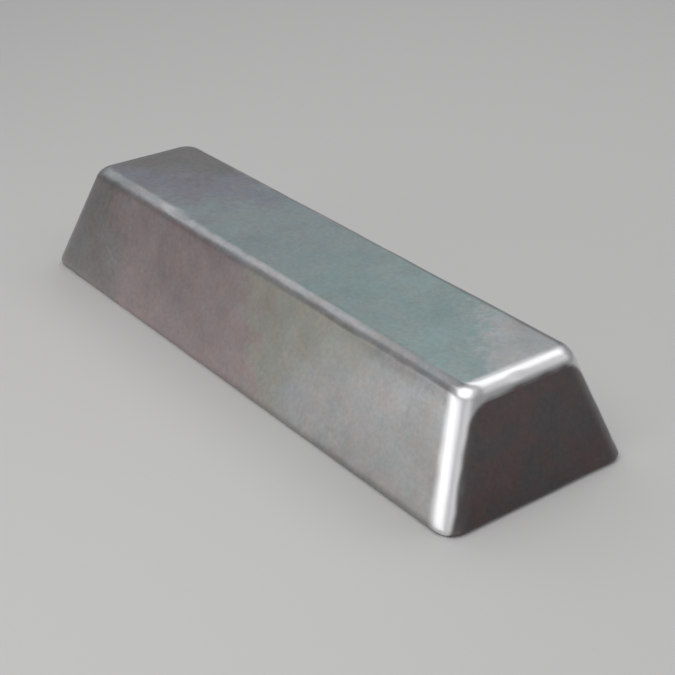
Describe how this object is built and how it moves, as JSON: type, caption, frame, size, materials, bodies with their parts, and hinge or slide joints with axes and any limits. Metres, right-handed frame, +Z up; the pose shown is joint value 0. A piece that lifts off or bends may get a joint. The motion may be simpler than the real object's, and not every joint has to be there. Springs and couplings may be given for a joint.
{
  "type": "aluminium ingot",
  "caption": "Cast aluminium bar for remelting: long drafted block with a wide flat face to lie on, a narrow face on top, leaning sides and ends and rounded edges.",
  "frame": {"origin": "centre of the wide face that the bar lies on", "axes": "+X along the bar, +Y across it, +Z up from the wide face to the narrow face"},
  "size_m": [0.587, 0.1852, 0.099],
  "materials": {
    "cast_aluminium": "satin cast skin with faint mottling and bright worn edges"
  },
  "bodies": {
    "root": {"ingot": "cast_aluminium"}
  },
  "joints": []
}
